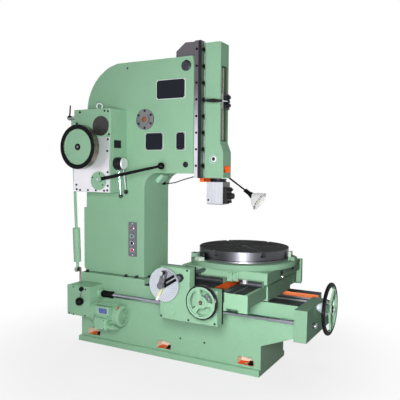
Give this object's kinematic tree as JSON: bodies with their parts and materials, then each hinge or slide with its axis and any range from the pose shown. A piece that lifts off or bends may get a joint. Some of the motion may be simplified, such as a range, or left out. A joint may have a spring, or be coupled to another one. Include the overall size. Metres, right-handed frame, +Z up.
{
  "type": "vertical slotting machine",
  "caption": "Floor-standing vertical slotting machine: a column with a swivelling ram head over a bed with saddle, cross slide and round T-slot table, handwheels and a lamp.",
  "frame": {"origin": "on the floor, at the centre of the foundation holes under the base", "axes": "+X along the bed towards the longitudinal handwheel, +Y away from the operator side, +Z up"},
  "size_m": [2.019, 1.241, 2.245],
  "materials": {
    "green_paint": "satin enamel",
    "orange_paint": "satin enamel",
    "grey_paint": "satin enamel",
    "white_paint": "satin enamel",
    "black_paint": "gloss enamel",
    "bright_steel": "machined",
    "ground_steel": "ground",
    "dark_steel": "blackened",
    "dark_iron": "machined, oiled",
    "chrome": "polished",
    "black_plastic": "gloss",
    "green_plastic": "gloss",
    "red_plastic": "gloss",
    "pink_lens": "gloss",
    "cable_sheath": "matt"
  },
  "bodies": {
    "frame": {"base_bed": "green_paint", "column": "green_paint", "rear_cover": "green_paint", "end_bracket": "green_paint", "gearbox_housing": "green_paint", "gearbox_front_plates": "bright_steel", "upper_round_cover": "dark_steel", "lever_cover": "green_paint", "crank_flange": "bright_steel", "guide_pivot_pin": "dark_steel", "button_plate": "grey_paint", "indicator_lens": "pink_lens", "feed_box": "green_paint", "feed_box_cover": "green_paint", "motor_housing": "green_paint", "motor_fan_cover": "green_paint", "motor_terminal_box": "green_paint", "lamp_bracket": "green_paint", "cable_glands": "black_plastic", "lamp_cable": "cable_sheath"},
    "guide": {"ram_guide": "ground_steel", "guide_keepers": "ground_steel"},
    "ram": {"ram": "green_paint", "relief_pin": "dark_steel", "ram_stop_block": "orange_paint", "ram_clamp_plate": "dark_steel"},
    "clamp_lever": {"clamp_lever": "black_paint"},
    "tool": {"tool_stem": "bright_steel", "tool_head": "bright_steel", "tool_clamp": "bright_steel"},
    "saddle": {"saddle": "green_paint", "apron_housing": "green_paint", "index_plate": "bright_steel"},
    "cross_slide": {"cross_slide": "green_paint", "cross_slide_gibs": "dark_iron", "table_base_ring": "green_paint"},
    "table": {"rotary_table": "dark_iron"},
    "index_crank": {"index_crank": "dark_steel"},
    "sector_arms": {"sector_arms": "black_paint"},
    "table_drive": {"table_drive_shaft": "dark_steel"},
    "cross_wheel": {"cross_handwheel": "green_paint", "cross_grip": "black_plastic", "cross_screw": "bright_steel"},
    "longitudinal_wheel": {"longitudinal_handwheel": "black_paint", "longitudinal_dial": "chrome"},
    "longitudinal_screw": {"longitudinal_screw": "bright_steel"},
    "feed_shaft": {"feed_shaft": "chrome", "shaft_coupling": "black_paint"},
    "flywheel": {"flywheel": "dark_iron"},
    "clutch_lever": {"clutch_lever": "black_paint"},
    "speed_lever_inner": {"speed_lever_inner": "chrome"},
    "speed_lever_outer": {"speed_lever_outer": "chrome"},
    "feed_rod": {"feed_rod": "green_paint"},
    "feed_hand_lever": {"feed_hand_lever": "bright_steel"},
    "feed_selector": {"feed_selector": "black_paint"},
    "button_green": {"button_green": "green_plastic"},
    "button_black": {"button_black": "black_plastic"},
    "button_red": {"button_red": "red_plastic"},
    "lamp_arm": {"lamp_arm": "black_paint"},
    "lamp_shade": {"lamp_shade": "white_paint"}
  },
  "joints": [
    {"name": "saddle_slide", "type": "slide", "parent": "frame", "child": "saddle", "axis": [1, 0, 0], "range_m": [-0.335, 0.224]},
    {"name": "longitudinal_wheel_turn", "type": "hinge", "parent": "frame", "child": "longitudinal_wheel", "pos_m": [1.199, -0.165, 0.497], "axis": [1, 0, 0], "continuous": true},
    {"name": "longitudinal_screw_turn", "type": "hinge", "parent": "frame", "child": "longitudinal_screw", "pos_m": [0.5, 0.055, 0.44], "axis": [1, 0, 0], "continuous": true},
    {"name": "cross_slide_move", "type": "slide", "parent": "saddle", "child": "cross_slide", "axis": [0, 1, 0], "range_m": [-0.18, 0.36]},
    {"name": "cross_wheel_turn", "type": "hinge", "parent": "saddle", "child": "cross_wheel", "pos_m": [0.577, -0.69, 0.572], "axis": [0, 1, 0], "continuous": true},
    {"name": "table_turn", "type": "hinge", "parent": "cross_slide", "child": "table", "pos_m": [0.523, 0.034, 0.78], "axis": [0, 0, 1], "continuous": true},
    {"name": "index_crank_turn", "type": "hinge", "parent": "saddle", "child": "index_crank", "pos_m": [0.282, -0.65, 0.636], "axis": [0, 1, 0], "continuous": true},
    {"name": "table_drive_turn", "type": "hinge", "parent": "saddle", "child": "table_drive", "pos_m": [0.38, -0.6, 0.684], "axis": [0, 1, 0], "continuous": true},
    {"name": "sector_arms_turn", "type": "hinge", "parent": "saddle", "child": "sector_arms", "pos_m": [0.282, -0.652, 0.636], "axis": [0, 1, 0], "continuous": true},
    {"name": "feed_shaft_turn", "type": "hinge", "parent": "frame", "child": "feed_shaft", "pos_m": [0.3, -0.255, 0.404], "axis": [1, 0, 0], "continuous": true},
    {"name": "flywheel_turn", "type": "hinge", "parent": "frame", "child": "flywheel", "pos_m": [-0.556, -0.45, 1.508], "axis": [0, 1, 0], "continuous": true},
    {"name": "clutch_lever_swing", "type": "hinge", "parent": "frame", "child": "clutch_lever", "pos_m": [-0.428, -0.4, 1.277], "axis": [0, 1, 0], "range_deg": [-12, 12]},
    {"name": "speed_lever_inner_swing", "type": "hinge", "parent": "frame", "child": "speed_lever_inner", "pos_m": [-0.343, -0.288, 1.392], "axis": [1, 0, 0], "range_deg": [-24, 12]},
    {"name": "speed_lever_outer_swing", "type": "hinge", "parent": "frame", "child": "speed_lever_outer", "pos_m": [-0.31, -0.288, 1.392], "axis": [1, 0, 0], "range_deg": [-24, 12]},
    {"name": "feed_rod_slide", "type": "slide", "parent": "frame", "child": "feed_rod", "axis": [0, 0, 1], "range_m": [-0.01, 0.01]},
    {"name": "feed_hand_lever_swing", "type": "hinge", "parent": "frame", "child": "feed_hand_lever", "pos_m": [-0.735, -0.31, 1.713], "axis": [0, 1, 0], "range_deg": [-16, 16]},
    {"name": "feed_selector_swing", "type": "hinge", "parent": "frame", "child": "feed_selector", "pos_m": [-0.614, -0.385, 0.452], "axis": [0, 1, 0], "range_deg": [-35, 35]},
    {"name": "guide_tilt", "type": "hinge", "parent": "frame", "child": "guide", "pos_m": [0.156, 0, 2.078], "axis": [0, -1, 0], "range_deg": [0, 8]},
    {"name": "ram_slide", "type": "slide", "parent": "guide", "child": "ram", "axis": [0, 0, 1], "range_m": [-0.28, 0.04]},
    {"name": "clamp_lever_swing", "type": "hinge", "parent": "ram", "child": "clamp_lever", "pos_m": [0.4, 0, 1.834], "axis": [1, 0, 0], "range_deg": [-20, 20]},
    {"name": "tool_relief", "type": "hinge", "parent": "ram", "child": "tool", "pos_m": [0.327, 0, 1.429], "axis": [0, -1, 0], "range_deg": [0, 2.5], "stiffness_Nm_per_rad": 300, "springref_deg": -2.86},
    {"name": "lamp_arm_swing", "type": "hinge", "parent": "frame", "child": "lamp_arm", "pos_m": [0.195, 0.183, 1.383], "axis": [0, 1, 0], "range_deg": [-20, 20]},
    {"name": "lamp_shade_swing", "type": "hinge", "parent": "lamp_arm", "child": "lamp_shade", "pos_m": [0.468, 0.183, 1.199], "axis": [0, 1, 0], "range_deg": [-40, 40]},
    {"name": "button_green_press", "type": "slide", "parent": "frame", "child": "button_green", "axis": [0, 1, 0], "range_m": [0, 0.004], "stiffness_N_per_m": 600, "springref_m": -0.002},
    {"name": "button_black_press", "type": "slide", "parent": "frame", "child": "button_black", "axis": [0, 1, 0], "range_m": [0, 0.004], "stiffness_N_per_m": 600, "springref_m": -0.002},
    {"name": "button_red_press", "type": "slide", "parent": "frame", "child": "button_red", "axis": [0, 1, 0], "range_m": [0, 0.004], "stiffness_N_per_m": 600, "springref_m": -0.002}
  ],
  "couplings": [
    {"joint": "longitudinal_wheel_turn", "follows": "saddle_slide", "rad_per_m": 523.6},
    {"joint": "longitudinal_screw_turn", "follows": "saddle_slide", "rad_per_m": -523.6},
    {"joint": "cross_wheel_turn", "follows": "cross_slide_move", "rad_per_m": 523.6},
    {"joint": "index_crank_turn", "follows": "table_turn", "ratio": 90},
    {"joint": "table_drive_turn", "follows": "table_turn", "ratio": -90},
    {"joint": "feed_hand_lever_swing", "follows": "feed_rod_slide", "rad_per_m": 25}
  ]
}
